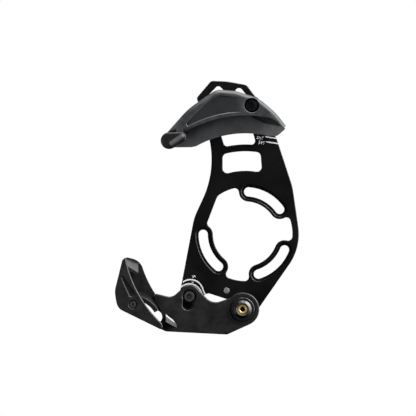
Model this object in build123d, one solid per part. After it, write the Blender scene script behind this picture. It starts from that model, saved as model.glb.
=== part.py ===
from build123d import *
import os
from math import atan2, cos, degrees, hypot, radians, sin

# A chain guide that bolts to the three tabs around a bicycle's bottom bracket.
# Every piece is drawn as it is seen from the drive side: x points forward, y up, and z
# outwards from the frame. The finished pieces are then stood up on the XZ plane, so that
# the bottom bracket axis is the Y axis and the frame's tabs meet the plate at Y = 0.

# Mounting plate, cut from aluminium sheet
PLATE_T = 4.0
PLATE_EDGE = 0.4
BOLT_CIRCLE_D = 59.85
SLOT_W = 6.5
SLOT_SPAN = 50.0
SLOT_MIDDLES = (60.6, 205.5, 312.9)
SINK_LEDGE = 1.7
SINK_DEPTH = 1.6
SINK_BEVEL = 0.5
INNER_RIM = 3.65
OUTER_RIM = 4.7
LOBE_REACH = 3.4
LOBE_CORNER = 3.0
CHORD_REACH = 28.1
CHORD_ANGLE = 159.0
CHORD_CORNER = 6.0
WINDOW_CORNER = 3.4
LOW_WINDOW_R = (44.8, 58.6)
HIGH_WINDOW_R = (20.1, 7.6)
HIGH_WINDOW_CORNER = 2.6
LOW_WINDOW_SIDES = ((-16.1, 30.0), (-16.1, 80.0), (8.9, 80.0), (12.9, 30.0))
HIGH_WINDOW_SIDES = ((-8.2, 40.0), (-26.2, 100.0), (-2.4, 100.0), (14.1, 40.0))

# Flanks of the mast: x, y and corner radius
RIGHT_FLANK_ANGLE = 8.3
LEFT_FLANK_ANGLE = 155.8
RIGHT_FLANK = ((33.4, 33.5, 40.0), (22.6, 66.5, 40.0))
LEFT_FLANK = ((-19.2, 48.4, 67.0),)

# Top of the mast: height over the upper shell's edge, angle and corner radius
MAST_CORNERS = (
    (10.44, 83.9, 30.0),
    (22.01, 89.51, 4.0),
    (25.28, 96.86, 30.0),
    (27.67, 102.56, 3.5),
    (18.83, 109.74, 2.5),
)
LEFT_EYE = ((16.93, 106.06, 1.2), (23.74, 100.3, 2.2), (14.42, 96.44, 1.2))
RIGHT_EYE = ((14.17, 94.22, 1.0), (25.04, 93.8, 2.7), (13.92, 89.12, 0.8))

# Pivot of the lower guide and its adjuster, which share an arc about the pivot
PIVOT_X = -2.0
PIVOT_Y = -53.2
ADJUSTER_X = -39.7
ADJUSTER_Y = -44.2
ARM_TRAVEL = 8.5
PIVOT_LOBE_R = 9.1
LEG_R = 7.1
SCALLOP_LEFT = 9.5
SCALLOP_CORNERS_Y = (-40.7, -46.9)
SCALLOP_CORNER = 4.0
LEG_CORNER = 3.0
STUD_D = 12.0
STUD_FLANGE_D = 16.0
STUD_FLANGE_T = 1.5
STUD_NECK_D = 9.0
STUD_NECK_L = 1.4
THRUST_T = 0.5
THRUST_D = 20.0
BUSH_WALL = 1.0
COLLAR_D = 16.8
COLLAR_T = 2.9
COLLAR_RIM = 1.6
HUB_D = 12.8
DISH_D = 9.0
DISH_DEPTH = 1.2
SPANNER_HOLE_D = 1.6
SPANNER_HOLE_R = 5.4
SPANNER_HOLE_DEPTH = 1.2
SPANNER_ANGLE = 130.0
INSERT_D = 6.9
INSERT_HOLE_D = 4.1
INSERT_L = 8.0
INSERT_EDGE = 0.55

# Screws and pins
M5_D = 5.0
M5_HEAD_D = 8.5
M5_HEAD_H = 3.8
M5_SOCKET_AF = 4.0
ADJUSTER_HEAD_D = 7.4
ADJUSTER_HEAD_H = 2.6
ADJUSTER_WASHER_T = 0.8
ADJUSTER_RECESS_D = 9.6
ADJUSTER_RECESS_DEPTH = 3.8
M3_D = 3.0
M3_HEAD_D = 4.9
M3_HEAD_H = 1.6
M3_SOCKET_AF = 2.0
M3_INSERT_D = 4.6
M3_INSERT_L = 4.4
INDEX_PIN_X = -13.4
INDEX_PIN_Y = -40.1
INDEX_PIN_D = 4.2
INDEX_PIN_RISE = 0.3
SOCKET_SHARE = 0.6
HEAD_EDGE = 0.4

# Lower guide arm
ARM_T = 6.5
ARM_EDGE = 0.6
ARM_BOTTOM_BEVEL = 2.2
BOSS_R = 11.75
BOSS_RING_D = 21.6
BOSS_RING_RISE = 0.4
BOSS_GROOVE_W = 0.7
BOSS_GROOVE_DEPTH = 1.0
BOSS_FOOT_ANGLE = -65.5
BOSS_NECK_ANGLE = 137.8
NECK_DIP = (-21.3, 3.7)
NECK_CORNER = 9.0
BUMP_R = 8.0
BUMP_ANGLES = (53.0, 116.0)
ARM_SHOULDER = (-12.2, -0.8, 7.0)
HEEL = (-11.0, -17.9, 4.0)
ARM_CORES = (
    ((-13.5, 0.7), (-29.0, -0.3), (-29.0, -12.8), (-14.5, -13.6)),
    ((-8.8, -7.3), (-15.8, -7.3), (-15.8, -20.3), (5.7, -21.4), (5.7, -14.3), (-6.3, -14.3)),
)
CORE_CORNER = 2.0
ARM_CORE_DEPTH = 4.0

# Lower guide channel, struck about the bottom bracket axis; its places and corners are given as
# height over the outer plate's edge, angle and corner radius
CHAIN_EDGE_R = 76.6
WALL_STEP_R = 78.2
WALL_POCKET = 1.5
WALL_START_ANGLE = 185.0
WALL_STEP_ANGLE = 213.8
POCKET_END_ANGLE = 223.6
SKID_END_ANGLE = 231.0
CHANNEL_W = 12.0
LOWER_OUTER_R = 86.2
LOWER_OUTER_T = 3.0
LOWER_SKID_T = 2.6
SHOULDER_DIP = 0.6
SHOULDER_ANGLE = 213.73
ARM_TIP = (
    (-9.6, 199.0, 0.0),
    (-9.63, 194.29, 10.0),
    (0.33, 190.79, 2.0),
    (12.51, 202.64, 20.0),
    (18.65, 209.67, 10.0),
    (2.84, 230.7, 4.0),
)
LOWER_OUTER_CORNERS = (
    (-1.59, 190.49, 1.2),
    (2.45, 191.72, 2.0),
    (14.47, 203.53, 15.0),
    (16.26, 206.99, 3.0),
    (18.02, 210.06, 8.0),
    (3.07, 229.82, 1.5),
    (-0.63, 226.04, 1.0),
)
FLUTE_R = 2.4
FLUTE_W = 3.9
FLUTE_ANGLES = (197.8, 208.6)
FLUTE_TIP = 0.3
FLUTE_CORNER = 1.2
FLUTE_DEPTH = 0.9
FLUTE_BEVEL = 0.7
SLIDER_PLACE = (15.65, 217.22)
SLIDER_R = 21.8
SLIDER_T = 3.2
SLIDER_ANGLES = (31.0, 76.0)
SLIDER_LEAN = (1.0, -3.4)
SLIDER_SHORT = 1.0
SLIDER_EDGE = 0.3
SLIDER_PEG_D = 2.0
SLIDER_PEG_L = 3.0
SLIDER_PEG_ANGLES = (38.0, 66.0)
DRAIN_R = 3.5
DRAIN_W = 6.4
DRAIN_ANGLES = (216.0, 222.7)
DRAIN_END_R = 4.7
SCREW_ANGLE = 212.0
SCREW_X = -6.3
SCREW_Y = -3.92
SCREW_PILLAR_D = 7.6
SCREW_SINK_D = 6.1
SCREW_SINK_DEPTH = 1.9
SCREW_SINK_BEVEL = 0.3
RAMP_TOP = ((-6.44, 225.2), (-6.79, 232.26))
RAMP_FOOT = ((-4.05, 233.81), (-2.29, 226.93))
RAMP_RISE = 8.0
RAMP_BEVEL = 1.1
ROOF_BACK = ((0.13, 191.49), (-7.48, 195.1), (-6.57, 198.75), (2.23, 193.47))
ROOF_FRONT = ((2.63, 193.41), (-5.85, 199.79), (-4.1, 200.69), (4.13, 194.62))

# Upper guide: inner wall against the plate and a roofed outer shell; its corners are given as
# height over the shell's edge, angle and corner radius
GUIDE_BOLT_X = 4.3
GUIDE_BOLT_Y = 7.2
GUIDE_DROP = 4.5
GUIDE_LIFT = 0.5
PAD_GAP = 0.05
STANDOFF = 4.0
INNER_T = 3.0
INNER_EDGE_R = 71.2
INNER_EDGE_ANGLES = (77.0, 119.3)
UPPER_CHANNEL_W = 10.5
SHELL_T = 3.5
SHELL_EDGE_R = 83.6
SHELL_EDGE_ANGLES = (77.2, 119.8)
SHELL_ROOF_T = 3.0
SHELL_CROWN = 3.2
SHELL_RIM = 2.8
SHELL_EDGE = 0.5
SHELL_POCKET = 2.0
SLEEVE_D = 8.0
PILLAR_D = 13.4
PILLAR_FLOOR = 2.5
UPPER_RECESS_D = 10.5
UPPER_RECESS_BEVEL = 0.3
UPPER_WASHER_T = 1.0
KEY_X = -25.8
KEY_Y = -6.8
KEY_W = 4.4
KEY_L = 6.0
KEY_DEPTH = 3.0
PAD_R = 7.0
T_NUT_W = 8.6
T_NUT_L = 9.0
T_NUT_T = 2.0
SHELL_CROWN_CORNERS = (
    (6.74, 127.99, 0.0),
    (13.5, 114.72, 50.0),
    (20.35, 101.37, 10.0),
    (17.55, 93.97, 25.0),
    (12.55, 84.51, 25.0),
    (4.37, 75.85, 40.0),
    (-2.28, 69.56, 0.0),
)
SHELL_TIP = ((-3.7, 70.25, 0.0),)
INNER_TIP = ((-4.09, 69.15, 1.0), (-10.77, 72.09, 3.0))
INNER_TAIL = ((-11.39, 121.75, 2.0), (-3.61, 130.08, 3.0), (5.65, 127.72, 2.0))
SHELL_POCKET_CORNERS = (
    (4.64, 118.42, 1.0),
    (12.59, 106.55, 12.0),
    (15.64, 101.04, 6.0),
    (11.63, 88.8, 2.0),
    (-3.57, 88.57, 0.0),
    (-3.1, 116.57, 0.0),
)
CRESCENT = ((0.43, 88.64, 0.0), (-4.13, 80.59, 20.0), (-3.16, 69.63, 0.0), (4.7, 76.91, 0.0))
CRESCENT_DEPTH = 2.2
BUMPER_ENDS = ((1.46, 129.32, 5.9), (-1.73, 123.85, 4.0))
TONGUE_ROOT = (3.37, 122.3, 4.0)
BUMPER_SKIN = 1.6
BUMPER_FRONT = 2.2
FINGER_ENDS = ((-1.44, 123.13), (-0.99, 129.55))
FINGER_R = 2.3

# Clearances
SLIP = 0.02
RUNNING = 0.03
SHANK_CLEAR = 0.3
SIDE_CLEAR = 0.2

# Reach of a cut that has to pass every edge
FAR = 400.0


def polar(radius, angle, centre=(0, 0)):
    """Point at a radius and an angle in degrees from a centre."""
    return (centre[0] + radius * cos(radians(angle)), centre[1] + radius * sin(radians(angle)))


def struck(base, place):
    """Point given as a height over a base radius and an angle."""
    return polar(base + place[0], place[1])


# Places worked out from the sizes above
PIVOT = (PIVOT_X, PIVOT_Y)
ADJUSTER = (ADJUSTER_X, ADJUSTER_Y)
INDEX_PIN = (INDEX_PIN_X, INDEX_PIN_Y)
GUIDE_BOLT = (GUIDE_BOLT_X, SHELL_EDGE_R + GUIDE_BOLT_Y)
KEY = (GUIDE_BOLT[0] + KEY_X, GUIDE_BOLT[1] + KEY_Y)
SCREW_FOOT = polar(LOWER_OUTER_R, SCREW_ANGLE)
SCREW = (SCREW_FOOT[0] + SCREW_X, SCREW_FOOT[1] + SCREW_Y)
SLIDER_CENTRE = struck(LOWER_OUTER_R, SLIDER_PLACE)
DRAIN_MIDDLE_R = LOWER_OUTER_R + DRAIN_R - DRAIN_W / 2
ADJUSTER_R = hypot(ADJUSTER_X - PIVOT_X, ADJUSTER_Y - PIVOT_Y)
ADJUSTER_ANGLE = degrees(atan2(ADJUSTER_Y - PIVOT_Y, ADJUSTER_X - PIVOT_X))
BOLT_CIRCLE_R = BOLT_CIRCLE_D / 2
RIM_R = BOLT_CIRCLE_R + SLOT_W / 2 + OUTER_RIM

# Heights above the frame face, piece on piece
ARM_BACK = PLATE_T + THRUST_T
ARM_FRONT = ARM_BACK + ARM_T
LOWER_WALL = ARM_FRONT - WALL_POCKET
LOWER_OUTER_BACK = LOWER_WALL + CHANNEL_W
LOWER_OUTER_FRONT = LOWER_OUTER_BACK + LOWER_OUTER_T
ADJUSTER_SEAT = ARM_FRONT - ADJUSTER_RECESS_DEPTH
BOSS_FRONT = ARM_FRONT + BOSS_RING_RISE
COLLAR_BACK = BOSS_FRONT + PAD_GAP
COLLAR_FRONT = COLLAR_BACK + COLLAR_T
PAD_BACK = PLATE_T + PAD_GAP
INNER_BACK = PAD_BACK + STANDOFF
INNER_FRONT = INNER_BACK + INNER_T
SHELL_BACK = INNER_FRONT + UPPER_CHANNEL_W
SHELL_FRONT = SHELL_BACK + SHELL_T
BOLT_SEAT = INNER_FRONT + PILLAR_FLOOR


def sharp(point):
    """Corner of an outline with no rounding."""
    return (*point, 0.0)


def struck_corners(base, corners):
    """Corners given as height over a base radius, angle and corner radius, as x, y and radius."""
    return tuple((*struck(base, corner), corner[2]) for corner in corners)


def carried(corners, centre, radius):
    """Corners given from a centre, all with one corner radius."""
    return tuple((centre[0] + x, centre[1] + y, radius) for x, y in corners)


def outline(corners):
    """Closed face through corners given as x, y and corner radius."""
    points = [(x, y) for x, y, radius in corners]
    radii = [radius for x, y, radius in corners]
    return make_face(FilletPolyline(*points, radius=radii, close=True))


def disc(centre, diameter):
    """Round face about a centre."""
    return Pos(*centre) * Circle(diameter / 2)


def rounded(face, radius):
    """Face with its corners rounded."""
    return offset(offset(face, -radius), radius)


def wedge(start, end):
    """Three-cornered face between two rays from the bottom bracket axis."""
    return Polygon((0, 0), polar(FAR, start), polar(FAR, end), align=None)


def ring_sector(radii, angles):
    """Piece of a ring about the bottom bracket axis, between two angles."""
    return (Circle(radii[1]) - Circle(radii[0])) & wedge(*angles)


def arc_slot(centre, radius, start, span, width):
    """Slot with round ends along an arc."""
    return SlotArc(CenterArc(centre, radius, start, span), width)


def slab(face, back, front):
    """Solid of a face between two heights above the frame face."""
    return extrude(Pos(0, 0, back) * face, front - back, dir=(0, 0, 1))


def sunk(face, depth, front, bevel):
    """Cutter for a recess in a front face, with a bevel round its mouth."""
    mouth = extrude(Pos(0, 0, front - bevel) * face, bevel, dir=(0, 0, 1), taper=-45)
    return slab(face, front - depth, front) + mouth


def upright_slot(centre, width, down, up):
    """Slot with round ends for a pin that travels down and up from a centre."""
    x, y = centre
    middle = Pos(x, y + (up - down) / 2) * Rectangle(width, up + down)
    return disc((x, y - down), width) + disc((x, y + up), width) + middle


def front_edges(solid):
    """Edges round the face that is furthest from the frame."""
    return solid.faces().sort_by(Axis.Z)[-1].edges()


def capsule_hull(ends, inset):
    """Face that wraps round two discs, each given as a corner, less an inset."""
    discs = [Pos(x, y) * Circle(radius - inset) for x, y, radius in struck_corners(SHELL_EDGE_R, ends)]
    return make_hull(discs[0].edges() + discs[1].edges())


def socket_screw(centre, back, seat, shank_d, head_d, head_h, socket_af):
    """Screw with a hexagon socket, its shank behind the seat and its head before it."""
    shank = slab(disc(centre, shank_d), back, seat)
    head = slab(disc(centre, head_d), seat, seat + head_h)
    head = chamfer(front_edges(head), HEAD_EDGE)
    hexagon = Pos(*centre) * RegularPolygon(socket_af / 2, 6, major_radius=False)
    socket = slab(hexagon, seat + head_h * (1 - SOCKET_SHARE), seat + head_h)
    return shank + head - socket


def plate_outline():
    """Rim round the bottom bracket, mast above it, and two legs below it."""
    rim = Circle(RIM_R)
    flank_foot = sharp(polar(RIM_R, RIGHT_FLANK_ANGLE))
    flank_end = sharp(polar(RIM_R, LEFT_FLANK_ANGLE))
    top = struck_corners(SHELL_EDGE_R, MAST_CORNERS)
    mast = outline((flank_foot,) + RIGHT_FLANK + top + LEFT_FLANK + (flank_end,))
    slot_end = polar(ADJUSTER_R, ADJUSTER_ANGLE + ARM_TRAVEL, PIVOT)
    lobes = disc(PIVOT, 2 * PIVOT_LOBE_R).edges() + disc(slot_end, 2 * LEG_R).edges()
    lobes += disc(ADJUSTER, 2 * LEG_R).edges()
    legs = make_hull(rim.edges() + lobes)
    left = ADJUSTER_X + SCALLOP_LEFT
    right = PIVOT_X - PIVOT_LOBE_R
    scallop = outline((
        (left, -FAR, 0.0),
        (left, SCALLOP_CORNERS_Y[0], SCALLOP_CORNER),
        (right, SCALLOP_CORNERS_Y[1], SCALLOP_CORNER),
        (right, -FAR, 0.0),
    ))
    return rim + mast + rounded(legs - scallop, LEG_CORNER)


def mount_slots(width):
    """The three slots on the bolt circle, drawn at a given width."""
    slots = Sketch()
    for middle in SLOT_MIDDLES:
        slots += arc_slot((0, 0), BOLT_CIRCLE_R, middle - SLOT_SPAN / 2, SLOT_SPAN, width)
    return slots


def axle_opening():
    """Opening for the bottom bracket, with a lobe between each two slots."""
    chord_cut = Rot(0, 0, CHORD_ANGLE) * Pos(CHORD_REACH + FAR / 2, 0) * Rectangle(FAR, FAR)
    opening = rounded(Circle(BOLT_CIRCLE_R + LOBE_REACH) - chord_cut, CHORD_CORNER)
    opening -= mount_slots(SLOT_W + 2 * INNER_RIM)
    return rounded(opening, LOBE_CORNER)


def plate_window(radii, sides, corner):
    """Rounded window between two arcs and two straight sides."""
    window = (Circle(radii[1]) - Circle(radii[0])) & Polygon(*sides, align=None)
    return rounded(window, corner)


def backplate():
    """Plate with its openings, slots with sunk ledges, and the holes for what it carries."""
    face = plate_outline() - axle_opening()
    for eye in (LEFT_EYE, RIGHT_EYE):
        face -= outline(struck_corners(SHELL_EDGE_R, eye))
    face -= plate_window(LOW_WINDOW_R, LOW_WINDOW_SIDES, WINDOW_CORNER)
    high_radii = [SHELL_EDGE_R - drop for drop in HIGH_WINDOW_R]
    face -= plate_window(high_radii, HIGH_WINDOW_SIDES, HIGH_WINDOW_CORNER)
    solid = slab(face, 0, PLATE_T)
    rims = solid.edges().group_by(Axis.Z)
    solid = chamfer(rims[0] + rims[-1], PLATE_EDGE)
    solid -= slab(mount_slots(SLOT_W), 0, PLATE_T)
    solid -= sunk(mount_slots(SLOT_W + 2 * SINK_LEDGE), SINK_DEPTH, PLATE_T, SINK_BEVEL)
    solid -= slab(disc(PIVOT, STUD_D + 2 * SLIP), 0, PLATE_T)
    solid -= slab(disc(PIVOT, STUD_FLANGE_D + 2 * SLIP), 0, STUD_FLANGE_T)
    solid -= slab(disc(ADJUSTER, M5_D + 2 * SLIP), 0, PLATE_T)
    solid -= slab(disc(INDEX_PIN, INDEX_PIN_D + 2 * SLIP), 0, PLATE_T)
    solid -= slab(upright_slot(GUIDE_BOLT, M5_D + 2 * SHANK_CLEAR, GUIDE_DROP, GUIDE_LIFT), 0, PLATE_T)
    nut_room = T_NUT_L + GUIDE_DROP + GUIDE_LIFT + 2 * SIDE_CLEAR
    middle = (GUIDE_LIFT - GUIDE_DROP) / 2
    nut_way = Pos(GUIDE_BOLT[0], GUIDE_BOLT[1] + middle) * Rectangle(T_NUT_W + 2 * SIDE_CLEAR, nut_room)
    solid -= slab(nut_way, 0, T_NUT_T + SIDE_CLEAR)
    key_room = KEY_L + GUIDE_DROP + GUIDE_LIFT + 2 * SIDE_CLEAR
    key_way = Pos(KEY[0], KEY[1] + middle) * Rectangle(KEY_W + 2 * SIDE_CLEAR, key_room)
    return solid - slab(key_way, 0, PLATE_T)


def index_pin():
    """Steel pin riveted through the plate beside the pivot."""
    pin = slab(disc(INDEX_PIN, INDEX_PIN_D), 0, PLATE_T + INDEX_PIN_RISE)
    return chamfer(front_edges(pin), INDEX_PIN_RISE)


def pivot_stud():
    """Stud let into the back of the plate, with a neck for the collar and a hole for the insert."""
    stud = slab(disc(PIVOT, STUD_FLANGE_D), 0, STUD_FLANGE_T)
    stud += slab(disc(PIVOT, STUD_D), STUD_FLANGE_T, COLLAR_BACK)
    stud += slab(disc(PIVOT, STUD_NECK_D), COLLAR_BACK, COLLAR_BACK + STUD_NECK_L)
    insert_back = COLLAR_FRONT - DISH_DEPTH - INSERT_L
    return stud - slab(disc(PIVOT, INSERT_D + 2 * SLIP), insert_back, COLLAR_FRONT)


def thrust_washer():
    """Thin washer that keeps the arm off the plate."""
    return slab(disc(PIVOT, THRUST_D) - disc(PIVOT, STUD_D + 2 * RUNNING), PLATE_T, ARM_BACK)


def pivot_bush():
    """Flangeless bush pressed into the arm, running on the stud."""
    ring = disc(PIVOT, STUD_D + 2 * RUNNING + 2 * BUSH_WALL) - disc(PIVOT, STUD_D + 2 * RUNNING)
    return slab(ring, ARM_BACK, BOSS_FRONT)


def pivot_collar():
    """Turned collar with a low rim, a coned hub, a sunk face and two holes for a pin spanner."""
    half = COLLAR_D / 2
    bore = STUD_NECK_D / 2 + SLIP
    mouth = INSERT_D / 2 + SLIP
    neck_top = COLLAR_BACK + STUD_NECK_L + SLIP
    profile = Polyline(
        (bore, COLLAR_BACK),
        (half, COLLAR_BACK),
        (half, COLLAR_BACK + COLLAR_RIM - HEAD_EDGE),
        (half - HEAD_EDGE, COLLAR_BACK + COLLAR_RIM),
        (HUB_D / 2, COLLAR_BACK + COLLAR_RIM),
        (DISH_D / 2, COLLAR_FRONT),
        (DISH_D / 2, COLLAR_FRONT - DISH_DEPTH),
        (mouth, COLLAR_FRONT - DISH_DEPTH),
        (mouth, neck_top),
        (bore, neck_top),
        close=True,
    )
    collar = Pos(*PIVOT) * revolve(Plane.XZ * make_face(profile), Axis.Z)
    for angle in (SPANNER_ANGLE, SPANNER_ANGLE + 180):
        hole = disc(polar(SPANNER_HOLE_R, angle, PIVOT), SPANNER_HOLE_D)
        collar -= slab(hole, COLLAR_FRONT - SPANNER_HOLE_DEPTH, COLLAR_FRONT)
    return collar


def pivot_insert():
    """Brass threaded insert in the end of the stud."""
    ring = disc(PIVOT, INSERT_D) - disc(PIVOT, INSERT_HOLE_D)
    front = COLLAR_FRONT - DISH_DEPTH
    solid = slab(ring, front - INSERT_L, front)
    return fillet(front_edges(solid), INSERT_EDGE)


def adjuster_bolt():
    """Bolt that clamps the arm to the plate through the arm's slot."""
    seat = ADJUSTER_SEAT + ADJUSTER_WASHER_T
    return socket_screw(ADJUSTER, 0, seat, M5_D, ADJUSTER_HEAD_D, ADJUSTER_HEAD_H, M5_SOCKET_AF)


def adjuster_washer():
    """Washer under the adjuster bolt's head."""
    ring = disc(ADJUSTER, ADJUSTER_HEAD_D) - disc(ADJUSTER, M5_D + 2 * SLIP)
    return slab(ring, ADJUSTER_SEAT, ADJUSTER_SEAT + ADJUSTER_WASHER_T)


def bottom_corners():
    """Corners along the arm's lower edge, from the guide's foot to the pivot boss."""
    foot = struck_corners(LOWER_OUTER_R, ARM_TIP[-1:])
    heel = carried((HEEL[:2],), PIVOT, HEEL[2])
    return foot + heel + (sharp(polar(BOSS_R, BOSS_FOOT_ANGLE, PIVOT)),)


def arm_outline():
    """Arm from the pivot boss past the adjuster's bump to the guide's tip."""
    boss = disc(PIVOT, 2 * BOSS_R)
    bump = disc(ADJUSTER, 2 * BUMP_R)
    corners = (
        sharp(polar(BOSS_R, BOSS_NECK_ANGLE, PIVOT)),
        *carried((NECK_DIP,), PIVOT, NECK_CORNER),
        sharp(polar(BUMP_R, BUMP_ANGLES[0], ADJUSTER)),
        sharp(polar(BUMP_R, BUMP_ANGLES[1], ADJUSTER)),
        *carried((ARM_SHOULDER[:2],), ADJUSTER, ARM_SHOULDER[2]),
        sharp(polar(CHAIN_EDGE_R - SHOULDER_DIP, SHOULDER_ANGLE)),
        *struck_corners(LOWER_OUTER_R, ARM_TIP),
        *bottom_corners()[1:],
    )
    chain_cut = Circle(CHAIN_EDGE_R) & wedge(WALL_START_ANGLE, WALL_STEP_ANGLE)
    return boss + bump + outline(corners) - chain_cut


def wall_pocket():
    """Area of the arm that is sunk to make the channel's inner wall."""
    below = ring_sector((WALL_STEP_R, FAR / 2), (WALL_START_ANGLE, POCKET_END_ANGLE))
    skid = ring_sector((LOWER_OUTER_R, FAR / 2), (WALL_START_ANGLE, SKID_END_ANGLE))
    return wedge(WALL_START_ANGLE, WALL_STEP_ANGLE) + below + skid


def ramp():
    """Sloped block that carries the skid wall down to the arm."""
    start, end = [struck(LOWER_OUTER_R, place) for place in RAMP_TOP]
    foot = [struck(LOWER_OUTER_R, place) for place in RAMP_FOOT]
    high, low = start[0], end[0]
    top = ARM_FRONT + RAMP_RISE
    slope = Polygon((low, LOWER_WALL), (low, ARM_FRONT), (high, top), (high, LOWER_WALL), align=None)
    block = slab(Polygon(start, end, *foot, align=None), LOWER_WALL, top)
    block &= extrude(Plane.XZ * slope, FAR / 2, both=True)
    crest = ((start[0] + end[0]) / 2, (start[1] + end[1]) / 2, (ARM_FRONT + top) / 2)
    return chamfer(block.edges().sort_by_distance(crest)[0], RAMP_BEVEL)


def bottom_bevels():
    """Long bevel along the two straight runs of the arm's lower front edge."""
    foot = bottom_corners()
    width = ARM_BOTTOM_BEVEL
    section = Polygon((2 * width, width), (-width, -2 * width), (-width, width), align=None)
    bevels = []
    for start, end in zip(foot, foot[1:]):
        corner = Vector(start[0], start[1], ARM_FRONT)
        run = Vector(end[0], end[1], ARM_FRONT) - corner
        across = Plane(corner, x_dir=(-run.Y, run.X, 0), z_dir=run)
        bevels.append(extrude(across * section, run.length))
    return bevels


def arm_cores():
    """Pockets moulded into the back of the arm, with a rib between them."""
    boss_core = outline(carried(ARM_CORES[0], PIVOT, CORE_CORNER))
    return boss_core + outline(carried(ARM_CORES[1], ADJUSTER, CORE_CORNER))


def roof():
    """Slanted lip over the chain, from the inner wall out to the outer plate."""
    back = Polygon(*[struck(LOWER_OUTER_R, place) for place in ROOF_BACK], align=None)
    front = Polygon(*[struck(LOWER_OUTER_R, place) for place in ROOF_FRONT], align=None)
    return loft([Pos(0, 0, LOWER_WALL) * back, Pos(0, 0, LOWER_OUTER_BACK) * front])


def drain():
    """Opening in the arm behind the slider, with a wider round end."""
    start, end = DRAIN_ANGLES
    run = arc_slot((0, 0), DRAIN_MIDDLE_R, start, end - start, DRAIN_W)
    return run + disc(polar(DRAIN_MIDDLE_R, end), 2 * DRAIN_END_R)


def slider_pegs(diameter):
    """Round pegs under the slider, drawn at a given diameter."""
    pegs = Sketch()
    for angle in SLIDER_PEG_ANGLES:
        pegs += disc(polar(SLIDER_R - SLIDER_T / 2, angle, SLIDER_CENTRE), diameter)
    return pegs


def lower_arm():
    """Moulded arm: boss, adjuster slot, inner wall of the channel, ramp and roof."""
    solid = slab(arm_outline(), ARM_BACK, ARM_FRONT)
    solid = chamfer(front_edges(solid), ARM_EDGE)
    for bevel in bottom_bevels():
        solid -= bevel
    solid += slab(disc(PIVOT, BOSS_RING_D), ARM_FRONT, BOSS_FRONT)
    groove = disc(PIVOT, COLLAR_D + 2 * BOSS_GROOVE_W) - disc(PIVOT, COLLAR_D)
    solid -= slab(groove, BOSS_FRONT - BOSS_GROOVE_DEPTH, BOSS_FRONT)
    solid -= slab(arm_cores(), ARM_BACK, ARM_BACK + ARM_CORE_DEPTH)
    solid -= slab(wall_pocket(), LOWER_WALL, ARM_FRONT)
    solid -= slab(drain(), ARM_BACK, ARM_FRONT)
    solid += ramp() + roof()
    way = arc_slot(PIVOT, ADJUSTER_R, ADJUSTER_ANGLE, ARM_TRAVEL, M5_D + 2 * SHANK_CLEAR)
    head_d = ADJUSTER_HEAD_D + 2 * SHANK_CLEAR
    head_way = arc_slot(PIVOT, ADJUSTER_R, ADJUSTER_ANGLE, ARM_TRAVEL, head_d)
    head_way += disc(ADJUSTER, ADJUSTER_RECESS_D)
    solid -= slab(way, ARM_BACK, ARM_FRONT)
    solid -= sunk(head_way, ADJUSTER_RECESS_DEPTH, ARM_FRONT, ARM_EDGE)
    bush_d = STUD_D + 2 * RUNNING + 2 * BUSH_WALL
    solid -= slab(disc(PIVOT, bush_d + 2 * SLIP), ARM_BACK, BOSS_FRONT)
    solid -= slab(disc(SCREW, M3_INSERT_D + 2 * SLIP), LOWER_WALL - M3_INSERT_L, LOWER_WALL)
    solid -= slab(slider_pegs(SLIDER_PEG_D + 2 * SLIP), LOWER_WALL - SLIDER_PEG_L - SLIP, LOWER_WALL)
    return solid


def chain_slider():
    """Curved wear strip across the channel, leaning outwards and down, with two pegs in the arm."""
    front = LOWER_OUTER_BACK - SLIDER_SHORT
    strip = Pos(*SLIDER_CENTRE) * ring_sector((SLIDER_R - SLIDER_T, SLIDER_R), SLIDER_ANGLES)
    solid = loft([Pos(0, 0, LOWER_WALL) * strip, Pos(*SLIDER_LEAN, front) * strip])
    solid = chamfer(front_edges(solid), SLIDER_EDGE)
    return solid + slab(slider_pegs(SLIDER_PEG_D), LOWER_WALL - SLIDER_PEG_L, LOWER_WALL)


def flute():
    """Long tapering flute in the outer plate's face, pointed at its top."""
    top, foot = FLUTE_ANGLES
    outer = FLUTE_R + FLUTE_W
    corners = ((outer, top, FLUTE_TIP), (outer, foot, FLUTE_CORNER), (FLUTE_R, foot, FLUTE_CORNER))
    return outline(struck_corners(LOWER_OUTER_R, corners))


def lower_outer_plate():
    """Outer wall of the lower guide, with its skid wall, screw pillar and fluted face."""
    face = outline(struck_corners(LOWER_OUTER_R, LOWER_OUTER_CORNERS)) - Circle(LOWER_OUTER_R)
    solid = slab(face, LOWER_OUTER_BACK, LOWER_OUTER_FRONT)
    solid = chamfer(front_edges(solid), ARM_EDGE)
    solid -= sunk(flute(), FLUTE_DEPTH, LOWER_OUTER_FRONT, FLUTE_BEVEL)
    skid = face - offset(face, -LOWER_SKID_T) - Circle(LOWER_OUTER_R + LOWER_SKID_T)
    skid &= Pos(0, SCREW[1] - FAR / 2 + LOWER_SKID_T) * Rectangle(FAR, FAR)
    solid += slab(skid, LOWER_WALL, LOWER_OUTER_BACK)
    solid += slab(disc(SCREW, SCREW_PILLAR_D), LOWER_WALL, LOWER_OUTER_BACK)
    solid -= slab(disc(SCREW, M3_D + 2 * SIDE_CLEAR), LOWER_WALL, LOWER_OUTER_FRONT)
    return solid - sunk(disc(SCREW, SCREW_SINK_D), SCREW_SINK_DEPTH, LOWER_OUTER_FRONT, SCREW_SINK_BEVEL)


def outer_plate_screw():
    """Screw that holds the outer plate to the arm."""
    seat = LOWER_OUTER_FRONT - SCREW_SINK_DEPTH
    return socket_screw(SCREW, LOWER_WALL - M3_INSERT_L, seat, M3_D, M3_HEAD_D, M3_HEAD_H, M3_SOCKET_AF)


def screw_insert():
    """Brass insert in the arm that takes the outer plate's screw."""
    ring = disc(SCREW, M3_INSERT_D) - disc(SCREW, M3_D + 2 * SLIP)
    return slab(ring, LOWER_WALL - M3_INSERT_L, LOWER_WALL)


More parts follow.
